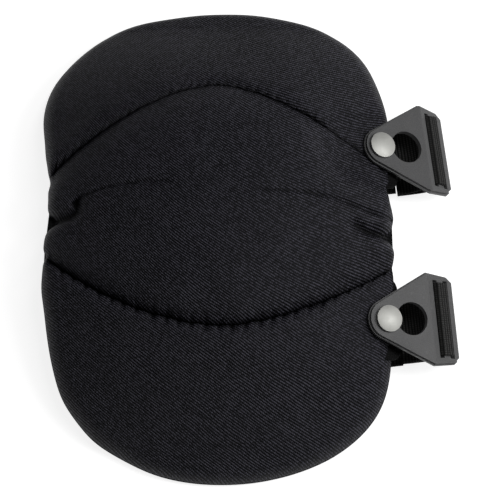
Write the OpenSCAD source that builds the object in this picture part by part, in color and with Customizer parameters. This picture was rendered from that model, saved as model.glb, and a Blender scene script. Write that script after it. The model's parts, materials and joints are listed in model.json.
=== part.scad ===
// Soft-cap knee pad: a sewn, foam-filled cap with two keyhole slides that hook on buttons at its side.
// It lies on its back: +Z is the front of the pad, +Y the thigh end, +X the side with the slides.
// The origin is under the middle of the whole object, on the surface that it lies on. Millimetres.

/* [Pad body] */
// Width of the padded cap
pad_w = 178; // [174:1:182]
// Length of the padded cap
pad_l = 250; // [244:1:254]
// Thickness of the padding in the middle
pad_t = 24; // [20:1:28]
// Thickness of the padding at its edge
edge_t = 6; // [5:0.5:7]
// How far the side edges arch above the ground
side_lift = 24; // [22:1:26]
// Depth of the sideways hollow for the knee
cup_depth = 12; // [10:1:14]
// Height of the seam between thigh and knee panels, in the middle
seam_top_mid = 74; // [70:1:78]
// The same seam where it reaches the sides
seam_top_side = 29; // [26:1:32]
// Distance of the seam between knee and shin panels below the middle
seam_low_mid = 53; // [50:1:57]
// The same seam where it reaches the sides
seam_low_side = 16; // [13:1:18]
// Depth of the sewn channels
groove_d = 5; // [3:0.5:6]

/* [Layers] */
// Thickness of the woven cover
cover_t = 1.2; // [1:0.1:1.5]
// Thickness of the soft foam next to the knee
comfort_t = 6; // [4:0.5:7]
// Thickness of the lining cloth
lining_t = 1; // [0.8:0.1:1.2]
// Width of the tape that binds the edge
binding_w = 6; // [5:0.5:7]
// Thickness of that tape
binding_t = 1.5; // [1.2:0.1:1.8]

/* [Slides and buttons] */
// Radius of a slide's rounded nose
nose_r = 10.3; // [10:0.1:10.6]
// Distance from the button to the line where the slide bends
bend_x = 24; // [23.5:0.1:24.5]
// Half the width of a slide at that line
bend_y = 24.2; // [23.8:0.1:24.6]
// Length of the slotted wing beyond the bend
wing_l = 17; // [16.6:0.1:17.4]
// Thickness of the moulded slide
slide_t = 3; // [2.6:0.1:3.2]
// Radius of the large hole that clears the button cap
hole_r = 8.6; // [8.4:0.1:8.8]
// Distance of the large hole from the middle of the nose
hole_x = 13.3; // [13:0.1:13.4]
// Radius of the button cap
cap_r = 6.8; // [6.4:0.1:7]
// Radius of the button post
post_r = 3.2; // [3:0.1:3.4]

/* [Straps] */
// Width of the elastic strap
strap_w = 38; // [36:1:40]
// Thickness of the elastic strap
strap_t = 1.4; // [1.2:0.1:1.6]
// Thickness of the webbing tab under each slide
tab_t = 1.6; // [1.4:0.1:1.8]
// Width of that tab
tab_w = 42; // [41:1:43]

/* [Hidden] */

half_w = pad_w / 2;
half_l = pad_l / 2;
outline_px = [2.2, 3];    // the outline's exponents across the pad, at its shin and thigh ends
outline_py = [3.8, 4];    // and along it
seam_tilt = [1.2, -3];    // how much higher the two seams end on the side with the slides
corner_share = 0.76;      // where the outline's corners lie, as a share of its half width
rest_y = 113;             // the edge is flat on the ground beyond this distance from the middle
pad_x = -16.9;            // places the pad so that the whole object is centred on the origin
fabric = "#1c1c20";
plastic = "#5c5c5e";
metal = "#b0b0aa";
foam = "#4a4a50";

// Each slide's button: x and y on the pad, height of the slide's underside above the edge; the
// slide's lean along the pad, its slope away from the pad, its heading and the bend of its wing;
// and how far the middle of its nose lies beyond the button, within the play of the keyhole.
UPPER = [82.6, 44.5, 7.2, 5, 25, 5, 26, 1.2];
LOWER = [85, -46.4, 9, -2, 22, 6, 22, 0];
play = 1.2;
function nose_at(b) = b[7];
function bend_at(b) = bend_x + b[7];
function big_hole_at(b) = hole_x + b[7];
// How far the slide is drawn in until the large hole clears the cap.
function draw_in(b) = big_hole_at(b) - (hole_r - cap_r) + 0.1;

function lerp(a, b, t) = a + (b - a) * t;
function power(x, n) = pow(abs(x), n);
function ease(y) = let (t = min(1, max(0, (y + 45) / 90))) t * t * (3 - 2 * t);
function exp_x(y) = lerp(outline_px[0], outline_px[1], ease(y));
function exp_y(y) = y < 0 ? outline_py[0] : outline_py[1];
function outline_x(y) = half_w * pow(max(0, 1 - power(y / half_l, exp_y(y))), 1 / exp_x(y));
function outline_y(x, side) =
    side * half_l * pow(max(0, 1 - power(x / half_w, exp_x(side * half_l))), 1 / exp_y(side));
function radius_share(x, y) = min(1, power(x / half_w, exp_x(y)) + power(y / half_l, exp_y(y)));
// The outline sways a little off the middle line.
function sway(y) = 3.1 * exp(-power((y + 95) / 35, 2)) - 2.6 * exp(-power((y - 72) / 22, 2));
function swayed(q) = [q.x + sway(q.y), q.y];

// Seams, as points for s from -1 at the left side to 1 at the right.
function seam_top_end(s) = seam_top_side + seam_tilt[0] * s;
function seam_low_end(s) = -seam_low_side + seam_tilt[1] * s;
function seam_top(s) = [s * outline_x(seam_top_end(s)), lerp(seam_top_mid, seam_top_end(s), power(s, 1.5))];
function seam_low(s) = [s * outline_x(seam_low_end(s)), lerp(-seam_low_mid, seam_low_end(s), power(s, 1.8))];
function end_line(s, side) = [s * half_w * corner_share, outline_y(s * half_w * corner_share, side)];

// A panel's plan, blended between its two long edges and the pad's outline.
function edge_low(panel, s) = panel == "thigh" ? seam_top(s) : panel == "knee" ? seam_low(s) : end_line(s, -1);
function edge_high(panel, s) = panel == "thigh" ? end_line(s, 1) : panel == "knee" ? seam_top(s) : seam_low(s);
function side_bulge(panel, side, t) =
    let (low = edge_low(panel, side), high = edge_high(panel, side), y = lerp(low.y, high.y, t))
    [side * outline_x(y), y] - lerp(low, high, t);
function plan(panel, s, t) =
    lerp(edge_low(panel, s), edge_high(panel, s), t)
    + side_bulge(panel, 1, t) * (1 + s) / 2 + side_bulge(panel, -1, t) * (1 - s) / 2;

// Heights. The inner face is the lining's; the outer face is the cover's.
function rim_z(y) = binding_t + side_lift * pow(max(0, 1 - pow(y / rest_y, 2)), 1.2);
function inner_z(x, y) = rim_z(y) + cup_depth * (1 - pow(radius_share(x, y), 0.72));
function groove(x, y) =
    let (s = max(-1, min(1, x / half_w)), top = seam_top(s).y, low = seam_low(s).y)
    groove_d * (exp(-power((y - top) / 5, 1.3)) + exp(-power((y - low) / 5, 1.3)))
    * (1 - pow(radius_share(x, y), 3));
function free_outer_z(x, y) =
    inner_z(x, y) + edge_t + (pad_t - edge_t) * (1 - pow(radius_share(x, y), 0.8)) - groove(x, y);

// The padding gives way under each slide, over the ground that the slide covers when it is drawn in.
function button_at(b) = [b[0], b[1], rim_z(b[1]) + b[2]];
function slide_axes(b) =
    let (h = b[5], a = b[4], l = b[3])
    [[cos(a) * cos(h), cos(a) * sin(h), -sin(a)],
     [-sin(l) * sin(a) * cos(h) - cos(l) * sin(h), -sin(l) * sin(a) * sin(h) + cos(l) * cos(h), -sin(l) * cos(a)]];
function plane_z(b, x, y) =
    let (n = cross(slide_axes(b)[0], slide_axes(b)[1]), c = button_at(b))
    c.z - (n.x * (x - c.x) + n.y * (y - c.y)) / n.z;
swing = 8;                   // how far the slide turns to each side on its button
dent_margin = 2.2;
dent_gap = 0.8;
least_t = 4;                   // the padding is never pressed thinner than this
// Distance outside the ground that the slide sweeps over, drawn in and turned.
function beyond_slide(b, x, y) =
    let (d = [x - b[0], y - b[1]], u = [cos(b[5]), sin(b[5])], r = draw_in(b) - nose_at(b),
         along = d * u, across = abs(d.x * -u.y + d.y * u.x), flank = 27 + swing,
         ax = along + r * cos(swing), ay = across + r * sin(swing),
         beside_flank = ay * cos(flank) - ax * sin(flank),
         past_nose = norm([ax, across - r * sin(swing)]))
    max(0, (ax * cos(flank) + ay * sin(flank) > 0 ? min(beside_flank, past_nose) : past_nose)
        - nose_r - dent_margin);
function pressed(b, x, y) = x < 40 ? 1000 : plane_z(b, x, y) - dent_gap + 0.9 * beyond_slide(b, x, y);
function outer_z(x, y) = max(inner_z(x, y) + least_t,
    min(free_outer_z(x, y), pressed(UPPER, x + sway(y), y), pressed(LOWER, x + sway(y), y)));

lining_top = lining_t;
// Room inside the cover, and the layers' shares of it: whole in the field, half of it at the rounded rim.
function room(x, y) = outer_z(x, y) - cover_t - inner_z(x, y);
function comfort_top(x, y) =
    lining_t + min(0.6 + (comfort_t - 0.6) * (1 - pow(radius_share(x, y), 2)), (room(x, y) - lining_t) / 2);
function rim_top(x, y, share) = lining_t + share * (room(x, y) / 2 - lining_t);

// Rows and columns of the panels' grids. The last pair at an edge is the rounded rim.
rim_s = 0.97;
mid_s = concat([for (i = [-6:4]) i / 7], [0.64, 0.714, 0.786, 0.857, 0.915]);
cols = concat([-1, -rim_s], mid_s, [rim_s, 1]);
inner_cols = concat([-0.983, -rim_s], mid_s, [rim_s, 0.983]);
knee_rows = [0, 0.1, 0.22, 0.36, 0.5, 0.65, 0.8, 0.9, 1];
thigh_rows = [0, 0.08, 0.18, 0.3, 0.44, 0.6, 0.8, 0.95, 1];
shin_rows = [0, 0.05, 0.2, 0.4, 0.56, 0.7, 0.82, 0.92, 1];
function rows(panel) = panel == "thigh" ? thigh_rows : panel == "knee" ? knee_rows : shin_rows;
function inner_rows(panel) =
    panel == "knee" ? knee_rows
    : [for (t = rows(panel)) panel == "thigh" ? min(t, 0.972) : max(t, 0.028)];
function at_rim(panel, s, t) = abs(s) > rim_s || (panel == "thigh" && t > 0.96) || (panel == "shin" && t < 0.04);
inset = 1 - cover_t / half_w;   // the layers inside the cover are this much smaller in plan

function cover_outside(panel, s, t) =
    let (q = plan(panel, s, t))
    [q.x + sway(q.y), q.y, at_rim(panel, s, t) ? inner_z(q.x, q.y) : outer_z(q.x, q.y)];
function cover_inside(panel, s, t) =
    let (q = plan(panel, s, t), k = swayed(q * inset))
    [k.x, k.y, at_rim(panel, s, t) ? inner_z(q.x, q.y) : outer_z(q.x, q.y) - cover_t];
function foam_top(panel, s, t) =
    let (q = plan(panel, s, t), k = swayed(q * inset))
    [k.x, k.y, at_rim(panel, s, t) ? inner_z(q.x, q.y) + rim_top(q.x, q.y, 0.8) : outer_z(q.x, q.y) - cover_t];
function layer(panel, s, t, level) =
    let (q = plan(panel, s, t), k = swayed(q * inset),
         soft = at_rim(panel, s, t) ? rim_top(q.x, q.y, 0.4) : comfort_top(q.x, q.y),
         up = level == "comfort" ? soft : level == "lining" ? lining_top : 0)
    [k.x, k.y, inner_z(q.x, q.y) + up];

// A closed solid between two grids of points that have the same rows and columns.
module slab(top, bottom) {
    nr = len(top);
    nc = len(top[0]);
    n = nr * nc;
    last_r = nr - 1;
    last_c = nc - 1;
    points = concat([for (r = top) for (q = r) q], [for (r = bottom) for (q = r) q]);
    function at(r, c) = r * nc + c;
    faces = concat(
        [for (r = [0:last_r - 1]) for (c = [0:last_c - 1]) each [
            [at(r, c), at(r + 1, c), at(r + 1, c + 1)], [at(r, c), at(r + 1, c + 1), at(r, c + 1)],
            [n + at(r, c), n + at(r + 1, c + 1), n + at(r + 1, c)], [n + at(r, c), n + at(r, c + 1), n + at(r + 1, c + 1)]]],
        [for (c = [0:last_c - 1]) each [
            [at(0, c), at(0, c + 1), n + at(0, c + 1)], [at(0, c), n + at(0, c + 1), n + at(0, c)],
            [at(last_r, c + 1), at(last_r, c), n + at(last_r, c)], [at(last_r, c + 1), n + at(last_r, c), n + at(last_r, c + 1)]]],
        [for (r = [0:last_r - 1]) each [
            [at(r + 1, 0), at(r, 0), n + at(r, 0)], [at(r + 1, 0), n + at(r, 0), n + at(r + 1, 0)],
            [at(r, last_c), at(r + 1, last_c), n + at(r + 1, last_c)], [at(r, last_c), n + at(r + 1, last_c), n + at(r, last_c)]]]);
    polyhedron(points, faces);
}

module cover(panel)
    color(fabric) slab(
        [for (t = rows(panel)) [for (s = cols) cover_outside(panel, s, t)]],
        [for (t = rows(panel)) [for (s = cols) cover_inside(panel, s, t)]]);

module foam_block(panel)
    color(foam) slab(
        [for (t = inner_rows(panel)) [for (s = inner_cols) foam_top(panel, s, t)]],
        [for (t = inner_rows(panel)) [for (s = inner_cols) layer(panel, s, t, "comfort")]]);

// One sheet across all three panels, between two levels.
function whole_sheet(level) = concat(
    [for (t = inner_rows("shin")) [for (s = inner_cols) layer("shin", s, t, level)]],
    [for (i = [1:len(knee_rows) - 1]) [for (s = inner_cols) layer("knee", s, knee_rows[i], level)]],
    [for (i = [1:len(thigh_rows) - 1]) [for (s = inner_cols) layer("thigh", s, inner_rows("thigh")[i], level)]]);

module comfort_foam() color(foam) slab(whole_sheet("comfort"), whole_sheet("lining"));
module lining() color(fabric) slab(whole_sheet("lining"), whole_sheet("base"));

// The tape runs round the edge, under the seam of cover and lining.
binding_steps = 64;
binding_gap = 0.3;              // the tape lies this far under the cover's edge
function round_edge(a, grow) =
    let (y = sign(sin(a)) * pow(abs(sin(a)), 2 / exp_y(sin(a))), k = exp_x(y * half_l),
         x = sign(cos(a)) * pow(max(0, 1 - power(y, exp_y(y))), 1 / k))
    swayed([(half_w - grow) * x, (half_l - grow) * y]);
function binding_ring(grow, drop) = [for (i = [0:binding_steps - 1])
    let (a = (i + 0.5) * 360 / binding_steps, q = round_edge(a, grow), rim = round_edge(a, 0))
    [q.x, q.y, rim_z(rim.y) - drop]];
module edge_binding() {
    rings = [binding_ring(0.4, binding_gap), binding_ring(binding_w, binding_gap),
             binding_ring(binding_w, binding_t), binding_ring(0.4, binding_t)];
    m = binding_steps;
    points = [for (r = rings) for (q = r) q];
    faces = [for (k = [0:3]) for (i = [0:m - 1])
        let (k2 = (k + 1) % 4, i2 = (i + 1) % m)
        each [[k * m + i, k * m + i2, k2 * m + i2], [k * m + i, k2 * m + i2, k2 * m + i]]];
    color(fabric) polyhedron(points, faces);
}

// Places children in a slide's frame: its underside is z = 0, its button is at x = y = 0.
module on_slide(b) translate(button_at(b)) rotate([-b[3], b[4], b[5]]) children();
// The same for the slotted wing, whose bend is along x = 0.
module on_wing(b) on_slide(b) translate([bend_at(b), 0, 0]) rotate([0, b[6], 0]) children();

slot_l = strap_w + 2.4;
slot_w = 3.2;
slot_x = [2.6, 10.4];           // where the two slots begin, from the bend
relief = 0.7;                   // the slide's upper half is this much smaller all round

nose_steps = 44;
// The slide's plan: a round nose, two straight flanks out to the bend, and the wing.
module plan_outline(b, shrink) translate([nose_at(b), 0]) {
    r = nose_r - shrink;
    corner = [bend_x, bend_y - shrink];
    touch = atan2(corner.y, corner.x) + acos(r / norm(corner));
    tip_x = bend_x + wing_l * cos(b[6]) - shrink;
    tip_y = bend_y - 1.4 - shrink;
    polygon(concat(
        [for (i = [0:nose_steps]) let (a = lerp(360 - touch, touch, i / nose_steps)) [r * cos(a), r * sin(a)]],
        [corner, [tip_x - 1.5, tip_y], [tip_x + 3, tip_y - 3.4],
         [tip_x + 3, 3.4 - tip_y], [tip_x - 1.5, -tip_y], [corner.x, -corner.y]]));
}
// Its side view between two levels: flat, rounded over the bend, and flat again.
function over_bend(b, z) = z == 0 ? [[bend_at(b), 0]]
    : [for (i = [0:5]) [bend_at(b) + z * sin(b[6] * i / 5), z * cos(b[6] * i / 5)]];
function wing_tip(b, z) =
    [[bend_at(b) + wing_l * cos(b[6]) + z * sin(b[6]), z * cos(b[6]) - wing_l * sin(b[6])]];
function reversed(v) = [for (i = [len(v) - 1:-1:0]) v[i]];
module side_view(b, z0, z1)
    translate([0, bend_y + 1, 0]) rotate([90, 0, 0]) linear_extrude(2 * bend_y + 2) polygon(concat(
        [[-nose_r - 1, z0]], over_bend(b, z0), wing_tip(b, z0),
        wing_tip(b, z1), reversed(over_bend(b, z1)), [[-nose_r - 1, z1]]));
module slide_layer(b, z0, z1, shrink) intersection() {
    side_view(b, z0, z1);
    translate([0, 0, -15]) linear_extrude(25) plan_outline(b, shrink);
}

keyhole_gap = 0.4;              // room between the post and the hole's narrow end
neck_gap = 0.25;                // room between the post and the neck that it passes
module slide(b) color(plastic) on_slide(b) difference() {
    union() {
        slide_layer(b, 0, slide_t * 0.45, 0);
        slide_layer(b, slide_t * 0.2, slide_t, relief);
    }
    translate([nose_at(b) - play, 0, -1]) cylinder(r = post_r + keyhole_gap, h = slide_t + 2, $fn = 64);
    translate([big_hole_at(b), 0, -1]) cylinder(r = hole_r, h = slide_t + 2, $fn = 96);
    translate([nose_at(b) - play, -post_r - neck_gap, -1])
        cube([hole_x, 2 * (post_r + neck_gap), slide_t + 2]);
    translate([bend_at(b), 0, 0]) rotate([0, b[6], 0])
        for (x = slot_x) translate([x, -slot_l / 2, -1]) cube([slot_w, slot_l, slide_t + 2]);
}

tab_z = -5;                     // underside of the tab, below the slide's underside at the button
tab_lean = 5;                   // the tab follows the pad's edge, so it leans this much more
tab_root = -5;                  // the tab starts this far inside the button
tab_end = 9.5;
module on_tab(b)
    translate(button_at(b)) rotate([-b[3] - sign(b[3]) * tab_lean, b[4], b[5]]) children();
tab_shift = 0.9;                // the lower tab sits this much nearer the thigh end
module tab(b) color(fabric) on_tab(b) difference() {
    translate([0, b == LOWER ? tab_shift : 0, tab_z]) linear_extrude(tab_t) hull() {
        translate([tab_root, -tab_w / 2]) square([2, tab_w]);
        for (side = [-1, 1]) translate([tab_end - 5, side * (tab_w / 2 - 5.4)]) circle(5, $fn = 32);
    }
    translate([0, 0, tab_z - 1]) cylinder(r = post_r, h = tab_t + 2, $fn = 64);
}

post_low = -6.3;
cap_z = slide_t + 0.5;
cap_neck = 1.2;                 // height of the post's rivet end inside the cap
module button_post(b) color(metal) on_slide(b) {
    translate([0, 0, post_low]) cylinder(r = post_r, h = cap_z - 0.1 - post_low, $fn = 64);
    translate([0, 0, cap_z - 0.1]) cylinder(r = 1.9, h = cap_neck, $fn = 48);
}
module button_washer(b) color(metal) on_slide(b) difference() {
    translate([0, 0, post_low]) cylinder(r = 5.4, h = 1, $fn = 64);
    translate([0, 0, post_low - 1]) cylinder(r = post_r, h = 3, $fn = 64);
}

// A shallow domed cap, hollow under its crown where the post's end turns.
cap_h = 2.6;
cap_wall = 1.3;
module button_cap(b) {
    dome_r = (pow(cap_r, 2) + pow(cap_wall, 2)) / (2 * cap_wall);
    profile = concat(
        [[0, cap_neck + 0.1], [2, cap_neck + 0.1], [2, 0], [cap_r - 0.4, 0], [cap_r, 0.4], [cap_r, cap_h - cap_wall]],
        [for (i = [1:8]) let (x = cap_r * (1 - i / 8))
            [x, cap_h - dome_r + sqrt(pow(dome_r, 2) - pow(x, 2))]]);
    color(metal) on_slide(b) translate([0, 0, cap_z]) rotate_extrude($fn = 96) polygon(profile);
}

// Straps. A band is a route in the x-z plane, given the strap's thickness and width.
function bezier(p, t) = pow(1 - t, 3) * p[0] + 3 * t * pow(1 - t, 2) * p[1] + 3 * t * t * (1 - t) * p[2] + t * t * t * p[3];
function curve(p, n) = [for (i = [0:n]) bezier(p, i / n)];
function heading(r, i) =
    let (d = r[min(i + 1, len(r) - 1)] - r[max(i - 1, 0)])
    d / norm(d);
function beside(r, i, off) = let (h = heading(r, i)) r[i] + off * [-h.y, h.x];
module band(route, width) {
    n = len(route) - 1;
    rotate([90, 0, 0]) translate([0, 0, -width / 2]) linear_extrude(width) polygon(concat(
        [for (i = [0:n]) beside(route, i, strap_t / 2)], [for (i = [n:-1:0]) beside(route, i, -strap_t / 2)]));
}

// A level frame turned to the slide's heading, with its origin on the ground below the button.
module on_ground(b) translate([b[0], b[1], 0]) rotate([0, 0, b[5]]) children();
// A point of that frame's x-z plane, as seen in the wing's frame.
function in_wing(b, p) =
    let (a = b[4], c = b[4] + b[6], q = p - [bend_at(b) * cos(a), button_at(b).z - bend_at(b) * sin(a)])
    [q.x * cos(c) - q.y * sin(c), q.x * sin(c) + q.y * cos(c)];

// The strap's end: its folded tail, its turn over the bar between the slots, and the start of its run.
leg_in = slot_x[0] + slot_w - strap_t / 2 - 0.3;
leg_out = slot_x[1] + strap_t / 2 + 0.3;
loop_top = slide_t + 0.25 + strap_t / 2;
leg_low = -1.5;
turn_r = 1.1;
run_z = 4.2;                    // height of the strap where it passes under the pad's edge
loop_end = 8;
tail_lift = strap_t + 0.2;
function loop_route(b) = concat(
    curve([in_wing(b, [loop_end, run_z + tail_lift]), in_wing(b, [17, run_z + tail_lift]),
           [leg_in, leg_low - 2.5], [leg_in, leg_low]], 8),
    [for (i = [0:4]) [leg_in + turn_r * (1 - cos(i * 22.5)), loop_top - turn_r + turn_r * sin(i * 22.5)]],
    [for (i = [0:4]) [leg_out - turn_r * (1 - sin(i * 22.5)), loop_top - turn_r + turn_r * cos(i * 22.5)]],
    curve([[leg_out, leg_low], [leg_out, leg_low - 6],
           in_wing(b, [19, run_z]), in_wing(b, [loop_end, run_z])], 8));
module strap_loop(b) color(fabric) on_wing(b) band(loop_route(b), strap_w);

// The run under the pad, from the loop to the left edge. It twists to follow the edges' slopes.
strap_left = -164;
floor_z = strap_t / 2 + 0.3;
function left_y(b) = b[1] + strap_left * sin(b[5]);
function left_slope(b) = (rim_z(left_y(b) + 1) - rim_z(left_y(b) - 1)) / 2;
function left_z(b) = rim_z(left_y(b)) - binding_t - 1.2 - strap_t / 2;
function strap_route(b) = concat(
    curve([[loop_end - 1.2, run_z], [loop_end - 8, run_z], [loop_end - 16, floor_z], [loop_end - 26, floor_z]], 7),
    [[-60, floor_z], [-110, floor_z]],
    curve([[-124, floor_z], [-140, floor_z], [strap_left + 14, left_z(b)], [strap_left, left_z(b)]], 9));
across = [-1, -0.33, 0.33, 1];
function strap_rows(b, off) =
    let (route = strap_route(b))
    [for (i = [0:len(route) - 1])
        let (q = beside(route, i, off), right = route[i].x > -60,
             rise = min(1, max(0, (route[i].y - floor_z) / (right ? 3 : 7))),
             slope = rise * (right ? -tan(b[3]) : left_slope(b)))
        [for (c = across) [q.x, c * strap_w / 2, q.y + slope * c * strap_w / 2]]];
module strap(b) color(fabric) on_ground(b) slab(strap_rows(b, strap_t / 2), strap_rows(b, -strap_t / 2));

// A patch sewn under the strap's root, where the strap is held to the pad's edge.
anchor_l = 10;
anchor_t = 1.2;
function anchor_rows(b, z) = [for (x = [strap_left + anchor_l, strap_left + anchor_l / 2, strap_left])
    [for (c = [-1, 1]) [x, c * (strap_w / 2 + 2), z + left_z(b) + left_slope(b) * c * (strap_w / 2 + 2)]]];
module strap_anchor(b) color(fabric) on_ground(b)
    slab(anchor_rows(b, -strap_t / 2 - 0.9), anchor_rows(b, -strap_t / 2 - 0.9 - anchor_t));

module placed() translate([pad_x, 0, 0]) children();

placed() cover("thigh");  // thigh_cover
placed() cover("knee");  // knee_cover
placed() cover("shin");  // shin_cover
placed() foam_block("thigh");  // thigh_foam
placed() foam_block("knee");  // knee_foam
placed() foam_block("shin");  // shin_foam
placed() comfort_foam();
placed() lining();
placed() edge_binding();
placed() tab(UPPER);  // upper_tab
placed() button_post(UPPER);  // upper_button_post
placed() button_washer(UPPER);  // upper_button_washer
placed() button_cap(UPPER);  // upper_button_cap
placed() slide(UPPER);  // upper_slide
placed() strap_loop(UPPER);  // upper_strap_loop
placed() strap(UPPER);  // upper_strap
placed() strap_anchor(UPPER);  // upper_strap_anchor
placed() tab(LOWER);  // lower_tab
placed() button_post(LOWER);  // lower_button_post
placed() button_washer(LOWER);  // lower_button_washer
placed() button_cap(LOWER);  // lower_button_cap
placed() slide(LOWER);  // lower_slide
placed() strap_loop(LOWER);  // lower_strap_loop
placed() strap(LOWER);  // lower_strap
placed() strap_anchor(LOWER);  // lower_strap_anchor
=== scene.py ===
"""The looks of the soft cap knee pad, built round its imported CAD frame. Metres, in the CAD's frame.

The padded panels, lining, binding, tabs and straps are modelled here as closed meshes.
The moulded slides and the metal buttons stay as the CAD has them, and get materials.
"""

import json
import math

import bpy
import numpy as np
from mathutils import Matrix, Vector


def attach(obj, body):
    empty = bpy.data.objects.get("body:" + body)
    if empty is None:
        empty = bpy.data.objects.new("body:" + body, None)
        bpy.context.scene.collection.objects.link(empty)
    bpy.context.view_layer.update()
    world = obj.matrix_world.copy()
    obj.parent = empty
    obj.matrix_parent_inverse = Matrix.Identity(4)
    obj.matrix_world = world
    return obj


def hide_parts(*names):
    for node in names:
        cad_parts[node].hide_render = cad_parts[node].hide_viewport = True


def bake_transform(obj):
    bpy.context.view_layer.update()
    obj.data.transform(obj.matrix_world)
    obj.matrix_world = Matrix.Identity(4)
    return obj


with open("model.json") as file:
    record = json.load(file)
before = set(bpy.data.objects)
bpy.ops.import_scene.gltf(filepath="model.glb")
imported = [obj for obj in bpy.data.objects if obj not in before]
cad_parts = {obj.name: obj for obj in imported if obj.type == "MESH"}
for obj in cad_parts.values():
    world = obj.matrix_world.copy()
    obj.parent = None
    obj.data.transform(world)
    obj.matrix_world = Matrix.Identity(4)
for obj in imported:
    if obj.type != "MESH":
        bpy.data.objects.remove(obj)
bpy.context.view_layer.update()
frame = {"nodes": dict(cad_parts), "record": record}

MM = 0.001
record = frame["record"]
joints = {j["name"]: j for j in record["behaviour"]["joints"]}
mounts = {m["name"]: m for m in record["mounts"]}
CENTRE = np.array(mounts["knee_cup"]["pos_m"]) / MM
CENTRE[2] = 0.0   # the middle of the padded cap, on the ground

# ---------------------------------------------------------------- the pad's shape, in millimetres

HALF_W, HALF_L = 89.0, 125.0
EXP_X, EXP_Y = (2.2, 3.0), (3.8, 4.0)    # the outline's exponents, each at the shin end and the thigh end
CORNER = 0.76                            # where the outline's corners lie, as a share of its half width
MEAN_EXP, SPAN, SPAN_GROWTH = 2.6, 88.0, 30.0   # turn a share of the outline into a distance from it
NOSE_AT = {"upper": 1.2, "lower": 0.0}   # how far the middle of each slide's nose lies beyond its button
REST_Y, RIM_BASE, SIDE_LIFT, CUP = 113.0, 1.5, 24.0, 12.0   # where the edge rests; its height, arch, hollow
PAD_T, EDGE_T = 24.0, 6.0                # thickness of the padding in the middle and at the edge
SEAM_TOP_MID, SEAM_TOP_SIDE, SEAM_TOP_TILT = 74.0, 29.0, 1.2
SEAM_LOW_MID, SEAM_LOW_SIDE, SEAM_LOW_TILT = -53.0, -16.0, -3.0
TOP_PUCKER, LOW_PUCKER = 5.6, 7.4        # spacing of the gathers along the two seams
NOSE_R, FLANK = 10.3, 27                 # a slide's nose radius and flank angle
DENT_FROM = 40                           # the slides dent the padding only beyond this distance


def lerp(a, b, t):
    return a + (b - a) * t


def smooth(x, a, b):
    t = np.clip((x - a) / (b - a), 0.0, 1.0)
    return t * t * (3 - 2 * t)


def bell(x, centre, width):
    return np.exp(-(((x - centre) / width) ** 2))


def wander(v, seed):
    """A smooth irregular curve between about -1 and 1."""
    return (np.sin(v * 1.0 + seed) + np.sin(v * 1.73 + 2.1 * seed + 1) + np.sin(v * 0.37 - seed)) / 3


def exp_x(y):
    return lerp(EXP_X[0], EXP_X[1], smooth(y, -45.0, 45.0))


def exp_y(y):
    return np.where(np.asarray(y) < 0, EXP_Y[0], EXP_Y[1])


def outline_x(y):
    return HALF_W * np.maximum(0, 1 - np.abs(y / HALF_L) ** exp_y(y)) ** (1 / exp_x(y))


def outline_y(x, side):
    px, py = exp_x(side * HALF_L), EXP_Y[0] if side < 0 else EXP_Y[1]
    return side * HALF_L * np.maximum(0, 1 - np.abs(x / HALF_W) ** px) ** (1 / py)


def share(x, y):
    """0 in the middle of the pad, 1 on its outline."""
    return np.minimum(1, np.abs(x / HALF_W) ** exp_x(y) + np.abs(y / HALF_L) ** exp_y(y))


def sway(y):
    """How far the outline sways off the middle line."""
    return 3.1 * bell(y, -95, 35) - 1.3 * bell(y, 72, 24)


def rim_z(y):
    """Height of the pad's sewn edge."""
    return RIM_BASE + SIDE_LIFT * np.maximum(0, 1 - (y / REST_Y) ** 2) ** 1.2


def inner_z(x, y):
    """Height of the lining's face, on the knee's side."""
    return rim_z(y) + CUP * (1 - share(x, y) ** 0.72)


def rim_distance(rs, growth=0.0):
    """Distance inwards from the outline, for a share as share() gives it."""
    return (1 - rs ** (1 / MEAN_EXP)) * (SPAN + growth)


def comfort_top(x, y):
    """Thickness of the lining and its soft foam."""
    return 1.6 + 5.4 * (1 - share(x, y) ** 2)


def seam_top(s):
    """Points of the seam between thigh and knee, for s from -1 at the left side to 1 at the right."""
    end = SEAM_TOP_SIDE + SEAM_TOP_TILT * s
    rise = (np.sqrt(s * s + 0.004) ** 1.45 - 0.004 ** 0.725) / (1.004 ** 0.725 - 0.004 ** 0.725)
    drift = 0.35 * wander(s * 27, 0.8) * (1 - s * s)
    return np.stack([s * outline_x(end), lerp(SEAM_TOP_MID, end, rise) + drift], -1)


def seam_low(s):
    """The same for the seam between knee and shin."""
    end = SEAM_LOW_SIDE + SEAM_LOW_TILT * s
    low = lerp(SEAM_LOW_MID, end, np.abs(s) ** 1.8)
    drift = 0.55 * wander(s * 24, 2.8) * (1 - s * s)
    return np.stack([s * outline_x(end), low + drift], -1)


def end_line(s, side):
    x = s * HALF_W * CORNER
    return np.stack([x, outline_y(x, side)], -1)


EDGES = {
    "thigh": (seam_top, lambda s: end_line(s, 1)),
    "knee": (seam_low, seam_top),
    "shin": (lambda s: end_line(s, -1), seam_low),
}


def plan(panel, s, t):
    """A panel's plan, blended between its two long edges and the pad's outline."""
    low, high = EDGES[panel]
    point = lerp(low(s), high(s), t[..., None])
    for side in (-1.0, 1.0):
        one = np.full_like(s, side)
        a, b = low(one), high(one)
        y = lerp(a[..., 1], b[..., 1], t)
        on_side = np.stack([side * outline_x(y), y], -1)
        point = point + (on_side - lerp(a, b, t[..., None])) * ((1 + side * s) / 2)[..., None]
    return point


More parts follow.
